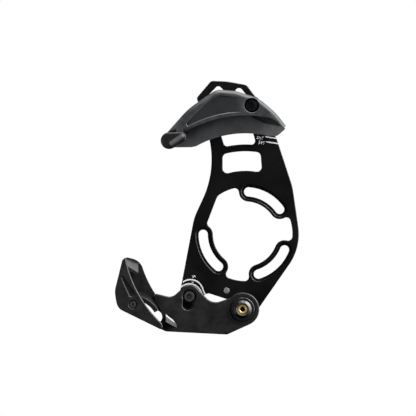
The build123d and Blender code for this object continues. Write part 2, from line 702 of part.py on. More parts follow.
def shell_outline():
    """Outer shell of the upper guide, with its lower edge round the chain's path."""
    right, left = [sharp(polar(SHELL_EDGE_R, angle)) for angle in SHELL_EDGE_ANGLES]
    edge_cut = Circle(SHELL_EDGE_R) & wedge(*SHELL_EDGE_ANGLES)
    return outline(struck_corners(SHELL_EDGE_R, SHELL_CROWN_CORNERS + SHELL_TIP) + (right, left)) - edge_cut


def inner_outline():
    """Inner wall of the upper guide, which hangs lower than the shell."""
    right, left = [sharp(polar(INNER_EDGE_R, angle)) for angle in INNER_EDGE_ANGLES]
    edge_cut = Circle(INNER_EDGE_R) & wedge(*INNER_EDGE_ANGLES)
    crown = struck_corners(SHELL_EDGE_R, SHELL_CROWN_CORNERS[1:-1] + INNER_TIP)
    return outline(crown + (right, left) + struck_corners(SHELL_EDGE_R, INNER_TAIL)) - edge_cut


def rear_mouth():
    """Opening at the shell's rear end, where the chain leaves under the roof."""
    heel = Vector(*struck(SHELL_EDGE_R, SHELL_CROWN_CORNERS[0]))
    rise = (Vector(*struck(SHELL_EDGE_R, SHELL_CROWN_CORNERS[1])) - heel).normalized()
    edge = Vector(*polar(SHELL_EDGE_R, SHELL_EDGE_ANGLES[1]))
    along = (edge - heel).normalized()
    start = heel + along * (SHELL_ROOF_T / along.cross(rise).length)
    up = rise * 2 * SHELL_ROOF_T
    corners = [(point.X, point.Y) for point in (start, edge, edge + up, start + up)]
    return Polygon(*corners, align=None)


def upper_inner_wall():
    """Inner wall with the pads, key and rib that seat it on the plate."""
    solid = slab(inner_outline(), INNER_BACK, INNER_FRONT)
    crescent = outline(struck_corners(SHELL_EDGE_R, CRESCENT))
    solid -= slab(crescent, INNER_FRONT - CRESCENT_DEPTH, INNER_FRONT)
    pads = disc(GUIDE_BOLT, 2 * PAD_R) + disc(KEY, 2 * PAD_R)
    solid += slab(pads, PAD_BACK, INNER_BACK)
    solid += slab(Pos(*KEY) * Rectangle(KEY_W, KEY_L), PLATE_T - KEY_DEPTH, PAD_BACK)
    return solid - slab(disc(GUIDE_BOLT, SLEEVE_D + 2 * SLIP), PAD_BACK, INNER_FRONT)


def tongue(inset):
    """Tongue at the shell's rear end that the bumper is moulded round."""
    return capsule_hull(BUMPER_ENDS, inset) + capsule_hull((BUMPER_ENDS[1], TONGUE_ROOT), inset)


def scoop():
    """Hollow in the shell's face, deepest at its rear tip and running out at the bolt."""
    face = outline(struck_corners(SHELL_EDGE_R, SHELL_POCKET_CORNERS)) - disc(GUIDE_BOLT, PILLAR_D)
    face -= Circle(SHELL_EDGE_R + SHELL_RIM)
    tip = struck(SHELL_EDGE_R, SHELL_POCKET_CORNERS[0])[0]
    end = GUIDE_BOLT[0] - PILLAR_D / 2
    floor = SHELL_FRONT - SHELL_POCKET
    slope = Polygon((tip, floor), (end, SHELL_FRONT), (tip, SHELL_FRONT), align=None)
    run_out = extrude(Plane.XZ * slope, FAR / 2, both=True)
    return sunk(face, SHELL_POCKET, SHELL_FRONT, SHELL_EDGE) & run_out


def upper_outer_shell():
    """Roofed shell over the chain, with a scooped face and a deep bolt recess."""
    face = shell_outline()
    solid = slab(face, INNER_FRONT, SHELL_FRONT)
    crown_r = SHELL_EDGE_R + SHELL_RIM / 2
    crown = front_edges(solid).filter_by(lambda edge: hypot(edge.center().X, edge.center().Y) > crown_r)
    solid = fillet(crown, SHELL_CROWN)
    channel = offset(face, -SHELL_ROOF_T) + (face & Circle(SHELL_EDGE_R + SHELL_ROOF_T)) + rear_mouth()
    solid -= slab(channel, INNER_FRONT, SHELL_BACK)
    solid += slab(disc(GUIDE_BOLT, PILLAR_D) & face, INNER_FRONT, SHELL_BACK)
    solid -= scoop()
    solid += slab(tongue(BUMPER_SKIN), SHELL_BACK, SHELL_FRONT)
    recess_depth = SHELL_FRONT - BOLT_SEAT
    solid -= sunk(disc(GUIDE_BOLT, UPPER_RECESS_D), recess_depth, SHELL_FRONT, UPPER_RECESS_BEVEL)
    return solid - slab(disc(GUIDE_BOLT, SLEEVE_D + 2 * SLIP), INNER_FRONT, BOLT_SEAT)


def entry_bumper():
    """Soft bumper moulded round the shell's end, with a rounded finger across its face."""
    front = SHELL_FRONT + BUMPER_FRONT
    body = slab(capsule_hull(BUMPER_ENDS, 0), SHELL_BACK - BUMPER_SKIN, front)
    body = fillet(front_edges(body), BUMPER_SKIN)
    start, end = [Vector(*struck(SHELL_EDGE_R, place), front - FINGER_R / 2) for place in FINGER_ENDS]
    along = Plane(start, z_dir=end - start)
    finger = extrude(along * Circle(FINGER_R), (end - start).length)
    finger += Pos(*start) * Sphere(FINGER_R) + Pos(*end) * Sphere(FINGER_R)
    body += finger
    body -= slab(tongue(BUMPER_SKIN - SLIP), SHELL_BACK - SLIP, SHELL_FRONT + SLIP)
    return body - slab(offset(shell_outline(), SLIP), INNER_FRONT, SHELL_FRONT + SLIP)


def upper_bolt():
    """Bolt that clamps the upper guide to the plate."""
    seat = BOLT_SEAT + UPPER_WASHER_T
    return socket_screw(GUIDE_BOLT, 0, seat, M5_D, M5_HEAD_D, M5_HEAD_H, M5_SOCKET_AF)


def upper_washer():
    """Washer under the upper bolt's head."""
    ring = disc(GUIDE_BOLT, UPPER_RECESS_D - 2 * SIDE_CLEAR) - disc(GUIDE_BOLT, M5_D + 2 * SLIP)
    return slab(ring, BOLT_SEAT, BOLT_SEAT + UPPER_WASHER_T)


def spacer_sleeve():
    """Metal sleeve that takes the bolt's clamping force past the plastic."""
    ring = disc(GUIDE_BOLT, SLEEVE_D) - disc(GUIDE_BOLT, M5_D + 2 * SLIP)
    return slab(ring, PAD_BACK, BOLT_SEAT)


def t_nut():
    """Plate nut that slides in the back of the plate."""
    face = Pos(*GUIDE_BOLT) * Rectangle(T_NUT_W, T_NUT_L) - disc(GUIDE_BOLT, M5_D + 2 * SLIP)
    return slab(face, SIDE_CLEAR, SIDE_CLEAR + T_NUT_T)


PIECES = (
    backplate,
    index_pin,
    pivot_stud,
    thrust_washer,
    pivot_collar,
    pivot_insert,
    adjuster_bolt,
    adjuster_washer,
    lower_arm,
    pivot_bush,
    chain_slider,
    lower_outer_plate,
    outer_plate_screw,
    screw_insert,
    upper_inner_wall,
    upper_outer_shell,
    entry_bumper,
    upper_bolt,
    upper_washer,
    spacer_sleeve,
    t_nut,
)

os.makedirs("parts", exist_ok=True)
for piece in PIECES:
    export_step(Plane.XZ * piece(), f"parts/{piece.__name__}.step")
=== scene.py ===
import bpy
import bmesh
import math
from mathutils import Matrix, Vector


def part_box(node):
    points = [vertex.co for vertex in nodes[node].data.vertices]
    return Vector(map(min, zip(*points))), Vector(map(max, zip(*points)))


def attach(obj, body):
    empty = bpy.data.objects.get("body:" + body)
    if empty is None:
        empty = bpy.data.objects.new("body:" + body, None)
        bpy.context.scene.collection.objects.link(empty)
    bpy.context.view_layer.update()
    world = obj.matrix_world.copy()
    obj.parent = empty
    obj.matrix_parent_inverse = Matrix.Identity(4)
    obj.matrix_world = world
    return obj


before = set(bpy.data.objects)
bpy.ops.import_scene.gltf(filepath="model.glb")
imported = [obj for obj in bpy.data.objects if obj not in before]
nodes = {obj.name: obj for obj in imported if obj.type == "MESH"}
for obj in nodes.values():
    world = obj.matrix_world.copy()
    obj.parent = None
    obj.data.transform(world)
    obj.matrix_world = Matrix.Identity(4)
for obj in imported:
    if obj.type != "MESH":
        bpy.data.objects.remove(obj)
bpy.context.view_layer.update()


# Mounting plate
# Cut from 4 mm aluminium sheet, with its edges broken and the slots sunk for bolt heads.
# It is bead-blasted and anodised black, so the face is satin with a very fine, even grain.

def node_group(name, inputs, outputs):
    """Empty shader node group with its named sockets, and its inner input and output sockets."""
    group = bpy.data.node_groups.new(name, "ShaderNodeTree")
    for label, kind, default in inputs:
        socket = group.interface.new_socket(label, in_out="INPUT", socket_type=kind)
        if default is not None:
            socket.default_value = default
    for label, kind in outputs:
        group.interface.new_socket(label, in_out="OUTPUT", socket_type=kind)
    entry = group.nodes.new("NodeGroupInput")
    leave = group.nodes.new("NodeGroupOutput")
    return group, entry.outputs, leave.inputs


def feed(tree, socket, value):
    """Links a socket to an input socket, or sets that to a number or vector."""
    if isinstance(value, bpy.types.NodeSocket):
        tree.links.new(value, socket)
    else:
        socket.default_value = value


def math_node(tree, operation, first, second=None):
    """Math node fed by sockets or numbers."""
    node = tree.nodes.new("ShaderNodeMath")
    node.operation = operation
    feed(tree, node.inputs[0], first)
    if second is not None:
        feed(tree, node.inputs[1], second)
    return node.outputs[0]


def mask_node(tree, value, start, full):
    """Mask that goes from 0 to 1 as a value goes from start to full."""
    node = tree.nodes.new("ShaderNodeMapRange")
    feed(tree, node.inputs["Value"], value)
    feed(tree, node.inputs["From Min"], start)
    feed(tree, node.inputs["From Max"], full)
    return node.outputs["Result"]


def noise_node(tree, vector, scale, detail, roughness=0.5):
    """Noise on a vector, its scale a number or a socket."""
    node = tree.nodes.new("ShaderNodeTexNoise")
    feed(tree, node.inputs["Vector"], vector)
    feed(tree, node.inputs["Scale"], scale)
    feed(tree, node.inputs["Detail"], detail)
    feed(tree, node.inputs["Roughness"], roughness)
    return node.outputs["Fac"]


def mix_tones(tree, mask, under, over):
    """Colour that goes from one tone to another with a mask; each is a colour or a socket."""
    node = tree.nodes.new("ShaderNodeMix")
    node.data_type = "RGBA"
    feed(tree, node.inputs["Factor"], mask)
    for label, tone in (("A", under), ("B", over)):
        feed(tree, node.inputs[label], (*tone, 1.0) if isinstance(tone, tuple) else tone)
    return node.outputs["Result"]


# Grain is the skin of a blasted or moulded surface: a fine pimple in its height, and a slow
# mottle that shifts its tone and gloss a little from place to place.
MOTTLE_SPREAD = (0.3, 0.7)
grain, g_in, g_out = node_group(
    "Surface grain",
    [
        ("Vector", "NodeSocketVector", None),
        ("Pimples per metre", "NodeSocketFloat", 6000.0),
        ("Mottles per metre", "NodeSocketFloat", 120.0),
    ],
    [("Height", "NodeSocketFloat"), ("Mottle", "NodeSocketFloat")],
)
pimple = noise_node(grain, g_in["Vector"], g_in["Pimples per metre"], detail=2.0)
slow = noise_node(grain, g_in["Vector"], g_in["Mottles per metre"], detail=4.0, roughness=0.6)
feed(grain, g_out["Height"], pimple)
feed(grain, g_out["Mottle"], mask_node(grain, slow, *MOTTLE_SPREAD))

# Rubs are the faint marks of handling: short hairlines that only change the gloss.
HAIR_LIE = math.radians(37.0)
HAIRS_PER_METRE = (60.0, 900.0, 2600.0)
HAIR_EDGE = (0.58, 0.74)
rubs, r_in, r_out = node_group(
    "Handling rubs",
    [("Vector", "NodeSocketVector", None), ("Amount", "NodeSocketFloat", 0.1)],
    [("Gloss", "NodeSocketFloat")],
)
lie = rubs.nodes.new("ShaderNodeMapping")
feed(rubs, lie.inputs["Vector"], r_in["Vector"])
feed(rubs, lie.inputs["Rotation"], (0.0, HAIR_LIE, 0.0))
feed(rubs, lie.inputs["Scale"], HAIRS_PER_METRE)
hair = noise_node(rubs, lie.outputs["Vector"], scale=1.0, detail=3.0)
hair = mask_node(rubs, hair, *HAIR_EDGE)
feed(rubs, r_out["Gloss"], math_node(rubs, "MULTIPLY", hair, r_in["Amount"]))


def grained(name, pimples, mottles, specular, metallic):
    """New grained material: itself, its node tree, its Object place and the grain's outputs."""
    material = bpy.data.materials.new(name)
    material.use_nodes = True
    tree = material.node_tree
    shader = tree.nodes["Principled BSDF"]
    shader.inputs["Specular IOR Level"].default_value = specular
    shader.inputs["Metallic"].default_value = metallic
    place = tree.nodes.new("ShaderNodeTexCoord").outputs["Object"]
    surface = tree.nodes.new("ShaderNodeGroup")
    surface.name = "Grain"
    surface.node_tree = grain
    feed(tree, surface.inputs["Vector"], place)
    feed(tree, surface.inputs["Pimples per metre"], pimples)
    feed(tree, surface.inputs["Mottles per metre"], mottles)
    return material, tree, place, surface.outputs


def coat(tree, colour, roughness, height, depth):
    """Leads a colour, a roughness and a height of some depth to a material's shader."""
    relief = tree.nodes.new("ShaderNodeBump")
    feed(tree, relief.inputs["Distance"], depth)
    feed(tree, relief.inputs["Height"], height)
    shader = tree.nodes["Principled BSDF"]
    feed(tree, shader.inputs["Base Color"], colour)
    feed(tree, shader.inputs["Roughness"], roughness)
    feed(tree, shader.inputs["Normal"], relief.outputs["Normal"])


def skin(name, dark, light, rough, rough_spread, pimples, mottles, bump, specular, rub=0.0):
    """Grained material: two tones, a roughness that follows the mottle, and handling rubs."""
    material, tree, place, surface = grained(name, pimples, mottles, specular, metallic=0.0)
    marks = tree.nodes.new("ShaderNodeGroup")
    marks.node_tree = rubs
    feed(tree, marks.inputs["Vector"], place)
    feed(tree, marks.inputs["Amount"], rub)
    roughness = math_node(tree, "MULTIPLY", surface["Mottle"], rough_spread)
    roughness = math_node(tree, "ADD", roughness, rough)
    roughness = math_node(tree, "SUBTRACT", roughness, marks.outputs["Gloss"])
    colour = mix_tones(tree, surface["Mottle"], dark, light)
    coat(tree, colour, roughness, surface["Height"], bump)
    return material


def dress(material, *names):
    """Gives CAD nodes a material."""
    for name in names:
        mesh = nodes[name].data
        mesh.materials.clear()
        mesh.materials.append(material)


anodised = skin(
    "anodised_plate", dark=(0.0030, 0.0030, 0.0033), light=(0.0052, 0.0052, 0.0056),
    rough=0.26, rough_spread=0.08, pimples=5200.0, mottles=45.0, bump=0.000003, specular=0.40,
    rub=0.02,
)
dress(anodised, "backplate")


# Printed marks on the plate
# White ink, screen-printed after anodising: two lines with chainring tooth counts beside the
# upper guide, and two lines that follow the arm's edge at its settings for the same rings.

PLATE_FACE = -0.0040
INK = 0.00002
UPRIGHT = Matrix.Rotation(math.radians(90.0), 3, "X")

ink = skin(
    "white_ink", dark=(0.90, 0.90, 0.90), light=(0.95, 0.95, 0.945),
    rough=0.5, rough_spread=0.1, pimples=9000.0, mottles=900.0, bump=0.000004, specular=0.4,
)


def make_object(name, shape, material):
    """Object at the origin from a finished bmesh."""
    mesh = bpy.data.meshes.new(name)
    shape.to_mesh(mesh)
    shape.free()
    mesh.materials.append(material)
    made = bpy.data.objects.new(name, mesh)
    bpy.context.scene.collection.objects.link(made)
    return made


def place_piece(name, shape, material, body):
    """Piece from a finished bmesh, riding on a body."""
    bmesh.ops.recalc_face_normals(shape, faces=shape.faces)
    piece = make_object(name, shape, material)
    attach(piece, body)


def verts_of(geometry):
    """Vertices among what a bmesh operator gives back."""
    return [item for item in geometry if isinstance(item, bmesh.types.BMVert)]


def thicken(shape, depth):
    """Gives a shape that lies in the plate's plane a thickness; positive is towards the frame."""
    raised = bmesh.ops.extrude_face_region(shape, geom=shape.faces[:])
    bmesh.ops.translate(shape, verts=verts_of(raised["geom"]), vec=(0.0, depth, 0.0))


def place_print(name, shape):
    """Piece of ink from flat print: put on the plate's face and given its thickness."""
    for vertex in shape.verts:
        vertex.co.y = PLATE_FACE
    thicken(shape, -INK)
    place_piece(name, shape, ink, "backplate")


def lay_print(name, shape, middle, slope):
    """Stands flat print up, turns it and puts its middle at a point of the plate."""
    bmesh.ops.rotate(shape, matrix=UPRIGHT, verts=shape.verts)
    bmesh.ops.rotate(shape, matrix=Matrix.Rotation(-slope, 3, "Y"), verts=shape.verts)
    bmesh.ops.translate(shape, vec=middle, verts=shape.verts)
    place_print(name, shape)


def printed_line(name, start, end, width):
    """Straight printed line between two points of the plate."""
    start, end = Vector((start[0], 0.0, start[1])), Vector((end[0], 0.0, end[1]))
    run = end - start
    shape = bmesh.new()
    bmesh.ops.create_grid(shape, x_segments=2, y_segments=1, size=0.5)
    bmesh.ops.scale(shape, vec=(run.length, width, 1.0), verts=shape.verts)
    lay_print(name, shape, (start + end) / 2, math.atan2(run.z, run.x))


CAPITAL_SHARE = 0.7
INK_SPREAD = 0.02
FOLD_SHARE = 0.016


def printed_text(name, words, middle, height, turn):
    """Printed letters, made a mesh and laid on the plate about their middle."""
    letters = bpy.data.curves.new(name, "FONT")
    letters.body = words
    letters.size = height / CAPITAL_SHARE
    letters.align_x = "CENTER"
    letters.align_y = "CENTER"
    letters.offset = height * INK_SPREAD
    draft = bpy.data.objects.new(name + "_draft", letters)
    bpy.context.scene.collection.objects.link(draft)
    bpy.context.view_layer.update()
    drawn = draft.evaluated_get(bpy.context.evaluated_depsgraph_get())
    flat = bpy.data.meshes.new_from_object(drawn)
    bpy.data.objects.remove(draft)
    shape = bmesh.new()
    shape.from_mesh(flat)
    bpy.data.meshes.remove(flat)
    bmesh.ops.remove_doubles(shape, verts=shape.verts, dist=height * FOLD_SHARE)
    lay_print(name, shape, (middle[0], 0.0, middle[1]), math.radians(turn))


MARK_W = 0.0009
COUNT_H = 0.0022
COUNT_TURN = -7.0
printed_line("mark_36", (0.01405, 0.0689), (0.0222, 0.0677), MARK_W)
printed_line("mark_34", (0.0148, 0.0653), (0.0236, 0.0640), MARK_W)
printed_text("count_36", "36T", (0.0102, 0.0680), COUNT_H, COUNT_TURN)
printed_text("count_34", "34T", (0.0114, 0.0645), COUNT_H, COUNT_TURN)

PIVOT = Vector((-0.0020, 0.0, -0.0532))
ADJUSTER = Vector((-0.0397, 0.0, -0.0442))
ACROSS = (0.0, 1.0, 0.0)
SETTING_R = 0.00885
SETTING_START, SETTING_END = 132.0, 27.0
SETTING_STEPS = 28
SETTING_TAIL = 0.0054
SETTING_LIFT = 4.7


def ray(angle):
    """Direction in the plate at an angle from forward to up, in degrees."""
    return Vector((math.cos(math.radians(angle)), 0.0, math.sin(math.radians(angle))))


def setting_line(name, lift):
    """Printed line round the arm's bump, and along its neck, with the arm lifted by an angle."""
    shape = bmesh.new()
    ends = [
        shape.verts.new(ADJUSTER + ray(SETTING_START) * (SETTING_R + side * MARK_W / 2))
        for side in (-1, 1)
    ]
    swept = bmesh.ops.spin(
        shape, geom=[*ends, shape.edges.new(ends)], cent=ADJUSTER, axis=ACROSS,
        angle=math.radians(SETTING_START - SETTING_END), steps=SETTING_STEPS, use_merge=False,
    )
    neck = [item for item in swept["geom_last"] if isinstance(item, bmesh.types.BMEdge)]
    tail = bmesh.ops.extrude_edge_only(shape, edges=neck)
    along = ray(SETTING_END - 90.0)
    bmesh.ops.translate(shape, verts=verts_of(tail["geom"]), vec=along * SETTING_TAIL)
    lifted = Matrix.Rotation(math.radians(lift), 3, "Y")
    bmesh.ops.rotate(shape, cent=PIVOT, matrix=lifted, verts=shape.verts)
    place_print(name, shape)


setting_line("setting_36", 0.0)
setting_line("setting_34", SETTING_LIFT)
printed_text("setting_count_34", "34", (-0.0366, -0.0303), height=0.0017, turn=8.0)
printed_text("setting_count_36", "36", (-0.0374, -0.0343), height=0.0011, turn=4.0)


# Index pin
# Plain turned steel pin, riveted through the plate beside the pivot.
# Its end is faced flat, so it shows as a grey disc with fine rings.

PIN = Vector((-0.0134, 0.0, -0.0401))
LATHE_PIMPLES = 7000.0
LATHE_MOTTLES = 500.0
LATHE_SHADE = 0.75
LATHE_ROUGH_SPREAD = 0.12
LATHE_SPECULAR = 0.5


def vector_math(tree, operation, first, second=None):
    """Vector Math node fed by a socket and a fixed vector."""
    node = tree.nodes.new("ShaderNodeVectorMath")
    node.operation = operation
    feed(tree, node.inputs[0], first)
    if second is not None:
        feed(tree, node.inputs[1], second)
    return node.outputs["Vector" if operation == "MULTIPLY" else "Value"]


def radius_from(tree, place, centre, level=(1.0, 0.0, 1.0)):
    """Distance of a place from an axis through a point; level has a 0 along that axis."""
    shift = tree.nodes.new("ShaderNodeMapping")
    feed(tree, shift.inputs["Vector"], place)
    feed(tree, shift.inputs["Location"], -centre)
    offset = vector_math(tree, "MULTIPLY", shift.outputs["Vector"], level)
    return vector_math(tree, "LENGTH", offset)


def turned(name, colour, rough, centre, rings, depth, metallic=1.0):
    """Metal faced on a lathe: fine rings about an axis through a point of the plate."""
    material, tree, place, surface = grained(
        name, LATHE_PIMPLES, LATHE_MOTTLES, LATHE_SPECULAR, metallic
    )
    wave = math_node(tree, "MULTIPLY", radius_from(tree, place, centre), rings * 2.0 * math.pi)
    height = math_node(tree, "ADD", math_node(tree, "SINE", wave), surface["Height"])
    shade = tuple(part * LATHE_SHADE for part in colour)
    roughness = math_node(tree, "MULTIPLY", surface["Mottle"], LATHE_ROUGH_SPREAD)
    roughness = math_node(tree, "ADD", roughness, rough)
    coat(tree, mix_tones(tree, surface["Mottle"], shade, colour), roughness, height, depth)
    return material


pin_steel = turned(
    "pin_steel", colour=(0.25, 0.25, 0.256), rough=0.5, centre=PIN, rings=1400.0,
    depth=0.000004, metallic=0.2,
)
dress(pin_steel, "index_pin")


# Pivot stud, washer, collar and brass insert
# The stud is pressed into the plate's back and carries the arm on a plastic washer, under a black
# collar. A funnel in the collar's bare, coned hub leads a small screw into the brass insert.

stud_black = turned(
    "stud_black", colour=(0.03, 0.03, 0.032), rough=0.42, centre=PIVOT, rings=3600.0,
    depth=0.000004, metallic=0.8,
)
dress(stud_black, "pivot_stud")
bearing_plastic = skin(
    "bearing_plastic", dark=(0.030, 0.030, 0.030), light=(0.040, 0.040, 0.040),
    rough=0.5, rough_spread=0.1, pimples=5000.0, mottles=300.0, bump=0.000006, specular=0.4,
)
dress(bearing_plastic, "thrust_washer", "pivot_bush")


def tone_over(tree, mask, tone):
    """Lays another tone over a material's colour by a mask."""
    colour = tree.nodes["Principled BSDF"].inputs["Base Color"]
    feed(tree, colour, mix_tones(tree, mask, colour.links[0].from_socket, tone))


HUB_R = 0.0063
DISH_R = 0.0046
RIM_BREAK = 0.00015
HUB_BARE = (0.085, 0.085, 0.088)
collar_black = turned(
    "collar_black", colour=(0.010, 0.010, 0.0105), rough=0.26, centre=PIVOT, rings=3000.0,
    depth=0.000004, metallic=0.0,
)
collar_tree = collar_black.node_tree
collar_place = collar_tree.nodes["Texture Coordinate"].outputs["Object"]
hub_radius = radius_from(collar_tree, collar_place, PIVOT)
cone = math_node(
    collar_tree, "MULTIPLY",
    mask_node(collar_tree, hub_radius, HUB_R + RIM_BREAK, HUB_R - RIM_BREAK),
    mask_node(collar_tree, hub_radius, DISH_R - RIM_BREAK, DISH_R + RIM_BREAK),
)
tone_over(collar_tree, cone, HUB_BARE)
feed(collar_tree, collar_tree.nodes["Principled BSDF"].inputs["Metallic"], cone)
dress(collar_black, "pivot_collar")
brass = turned(
    "turned_brass", colour=(0.97, 0.75, 0.25), rough=0.36, centre=PIVOT, rings=3200.0,
    depth=0.000003, metallic=0.7,
)
dress(brass, "pivot_insert", "screw_insert")

MOUTH_R = 0.00448
MOUTH_FOOT_R = 0.0036
MOUTH_SUNK = 0.00003
MOUTH_STEPS = 96
SHARP = math.radians(30.0)
hub_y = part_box("pivot_collar")[0].y
face_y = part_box("pivot_insert")[0].y
mouth_bare = turned(
    "mouth_bare", colour=(0.16, 0.16, 0.165), rough=0.30, centre=PIVOT, rings=3000.0,
    depth=0.000004, metallic=0.7,
)
mouth = bmesh.new()
corners = [
    mouth.verts.new(PIVOT + Vector((radius, depth, 0.0)))
    for radius, depth in ((MOUTH_R, hub_y + MOUTH_SUNK), (MOUTH_R, face_y), (MOUTH_FOOT_R, face_y))
]
section = [
    mouth.edges.new((corners[number - 1], corners[number])) for number in range(len(corners))
]
bmesh.ops.spin(
    mouth, geom=[*corners, *section], cent=PIVOT, axis=ACROSS, angle=math.radians(360.0),
    steps=MOUTH_STEPS, use_merge=True,
)
for face in mouth.faces:
    face.smooth = True
for edge in mouth.edges:
    edge.smooth = edge.calc_face_angle() < SHARP
place_piece("hub_mouth", mouth, mouth_bare, "backplate")

THREAD_R = 0.00205
THREAD_PITCH = 0.0008
THREAD_DEPTH = 0.00035
THREAD_TURNS = 8
THREAD_STEPS = 24
THREAD_START = 0.0006
RIB_ROOT = 0.00004
RIB_HALF = 0.0003
thread = bmesh.new()
rib = [
    thread.verts.new(PIVOT + Vector((THREAD_R + out, face_y + THREAD_START + along, 0.0)))
    for out, along in ((RIB_ROOT, -RIB_HALF), (-THREAD_DEPTH, 0.0), (RIB_ROOT, RIB_HALF))
]
rib_face = thread.faces.new(rib)
bmesh.ops.spin(
    thread, geom=[*rib, *rib_face.edges, rib_face], cent=PIVOT, axis=ACROSS,
    dvec=(0.0, THREAD_PITCH / THREAD_STEPS, 0.0), angle=math.radians(360.0 * THREAD_TURNS),
    steps=THREAD_STEPS * THREAD_TURNS, use_merge=False,
)
place_piece("insert_thread", thread, brass, "backplate")


# Adjuster bolt and washer
# Low-head socket screw and washer of blackened steel that clamp the arm through its slot.
# The screws of the outer plate and of the upper guide have the same finish.

black_steel = skin(
    "black_steel", dark=(0.036, 0.036, 0.037), light=(0.062, 0.062, 0.063),
    rough=0.24, rough_spread=0.12, pimples=6500.0, mottles=700.0, bump=0.000003, specular=1.0,
    rub=0.05,
)
dress(black_steel, "adjuster_bolt", "adjuster_washer", "outer_plate_screw")
dress(black_steel, "upper_bolt", "upper_washer")


# Lower guide
# Glass-filled nylon: one moulding is the arm with inner wall and roof, with painted highlights on
# its right-facing slopes, the other an outer plate, screwed on so that the wear strip between them
# can be changed.

def nylon_skin(name):
    """Black glass-filled nylon as moulded."""
    return skin(
        name, dark=(0.011, 0.011, 0.0114), light=(0.021, 0.021, 0.0218), rough=0.30,
        rough_spread=0.14, pimples=3600.0, mottles=130.0, bump=0.000005, specular=0.40, rub=0.05,
    )


PATCHY = 0.3


def paint_light(material, tone, start, full, side=None, turn=None, centre=None):
    """Paints light or shade into a skin as another tone: between two depths, or two distances
    from an axis, and where it faces a side within two limits."""
    tree = material.node_tree
    place = tree.nodes["Texture Coordinate"].outputs
    if centre is None:
        split = tree.nodes.new("ShaderNodeSeparateXYZ")
        feed(tree, split.inputs["Vector"], place["Object"])
        measure = split.outputs["Y"]
    else:
        measure = radius_from(tree, place["Object"], centre)
    mask = mask_node(tree, measure, start, full)
    if side:
        facing = vector_math(tree, "DOT_PRODUCT", place["Normal"], side)
        mask = math_node(tree, "MULTIPLY", mask, mask_node(tree, facing, *turn))
    patches = math_node(tree, "MULTIPLY", tree.nodes["Grain"].outputs["Mottle"], PATCHY)
    patches = math_node(tree, "ADD", patches, 1.0 - PATCHY)
    tone_over(tree, math_node(tree, "MULTIPLY", mask, patches), tone)


# Painted highlights: faces standing proud of the arm that face right are a lighter grey, and the
# ramp's bevel is near white.
ARM_FACE = -0.0110
SLOPE_PAINT_STARTS = ARM_FACE - 0.0006
SLOPE_PAINT_FULL = ARM_FACE - 0.0018
SLOPE_HIGHLIGHT_GREY = (0.084, 0.084, 0.0865)
SLOPE_LIT_SIDE = (0.95, 0.0, 0.3)
SLOPE_LIT_TURN = (0.42, 0.86)
BEVEL_HIGHLIGHT_GREY = (0.55, 0.55, 0.558)
BEVEL_SIDE = (0.79, -0.40, 0.45)
BEVEL_TURN = (0.90, 0.98)
arm_nylon = nylon_skin("arm_nylon")
paint_light(arm_nylon, SLOPE_HIGHLIGHT_GREY, SLOPE_PAINT_STARTS, SLOPE_PAINT_FULL, SLOPE_LIT_SIDE, SLOPE_LIT_TURN)
paint_light(arm_nylon, BEVEL_HIGHLIGHT_GREY, SLOPE_PAINT_STARTS, SLOPE_PAINT_FULL, BEVEL_SIDE, BEVEL_TURN)
dress(arm_nylon, "lower_arm")
dress(nylon_skin("outer_plate_nylon"), "lower_outer_plate")
wear_plastic = skin(
    "wear_strip", dark=(0.006, 0.006, 0.006), light=(0.010, 0.010, 0.010),
    rough=0.36, rough_spread=0.1, pimples=3000.0, mottles=200.0, bump=0.000004, specular=0.28,
)
dress(wear_plastic, "chain_slider")

# The arm's face runs up to the wear strip as a low land.
CHAIN_CENTRE = Vector((0.0, 0.0, 0.0))
STEP_R = 0.0779
STEP_ANGLES = (213.8, 224.0)
STRIP_CENTRE = Vector((-0.0811, 0.0, -0.0616))
LAND_R = 0.0225
LAND_ANGLES = (40.5, 13.0)
LAND_BACK = -0.0094
LAND_SUNK = 0.00001
LAND_STEPS = 24
land = bmesh.new()
for centre, radius, (start, end) in (
    (CHAIN_CENTRE, STEP_R, STEP_ANGLES),
    (STRIP_CENTRE, LAND_R, LAND_ANGLES),
):
    corner = land.verts.new(centre + ray(start) * radius)
    bmesh.ops.spin(
        land, geom=[corner], cent=centre, axis=ACROSS, angle=math.radians(start - end),
        steps=LAND_STEPS, use_merge=False,
    )
bmesh.ops.bridge_loops(land, edges=land.edges[:])
bmesh.ops.translate(land, verts=land.verts[:], vec=(0.0, LAND_BACK, 0.0))
thicken(land, ARM_FACE + LAND_SUNK - LAND_BACK)
place_piece("strip_land", land, arm_nylon, "lower_guide")


# Upper guide
# An inner wall and a roofed outer shell, moulded in dark grey nylon and clamped to the mast by
# one bolt, through a steel sleeve into a plate nut. Crown and foot have painted light, the scoop
# and hollows painted shade.

SHELL_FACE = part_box("upper_outer_shell")[0].y
SHELL_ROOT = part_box("upper_outer_shell")[1].y
CROWN_FULL = SHELL_ROOT - 0.001
CROWN_HIGHLIGHT_GREY = (0.108, 0.110, 0.116)
CROWN_SIDE = (0.0, -0.80, 0.60)
CROWN_TURN = (0.88, 0.98)
SCOOP_STARTS = SHELL_FACE + 0.00004
SCOOP_FULL = SHELL_FACE + 0.00025
SCOOP_SHADE_GREY = (0.018, 0.0187, 0.020)
OUTWARD = (0.0, -1.0, 0.0)
SCOOP_TURN = (0.978, 0.990)
grey_nylon = skin(
    "grey_nylon", dark=(0.021, 0.0217, 0.0231), light=(0.058, 0.0601, 0.0644),
    rough=0.38, rough_spread=0.14, pimples=3400.0, mottles=150.0, bump=0.000006, specular=0.45,
    rub=0.05,
)
# Painted light and shade: the up-facing crown is a paler grey, the sunk scoop a darker one.
paint_light(grey_nylon, CROWN_HIGHLIGHT_GREY, SHELL_ROOT, CROWN_FULL, CROWN_SIDE, CROWN_TURN)
paint_light(grey_nylon, SCOOP_SHADE_GREY, SCOOP_STARTS, SCOOP_FULL, OUTWARD, SCOOP_TURN)
dress(grey_nylon, "upper_outer_shell")

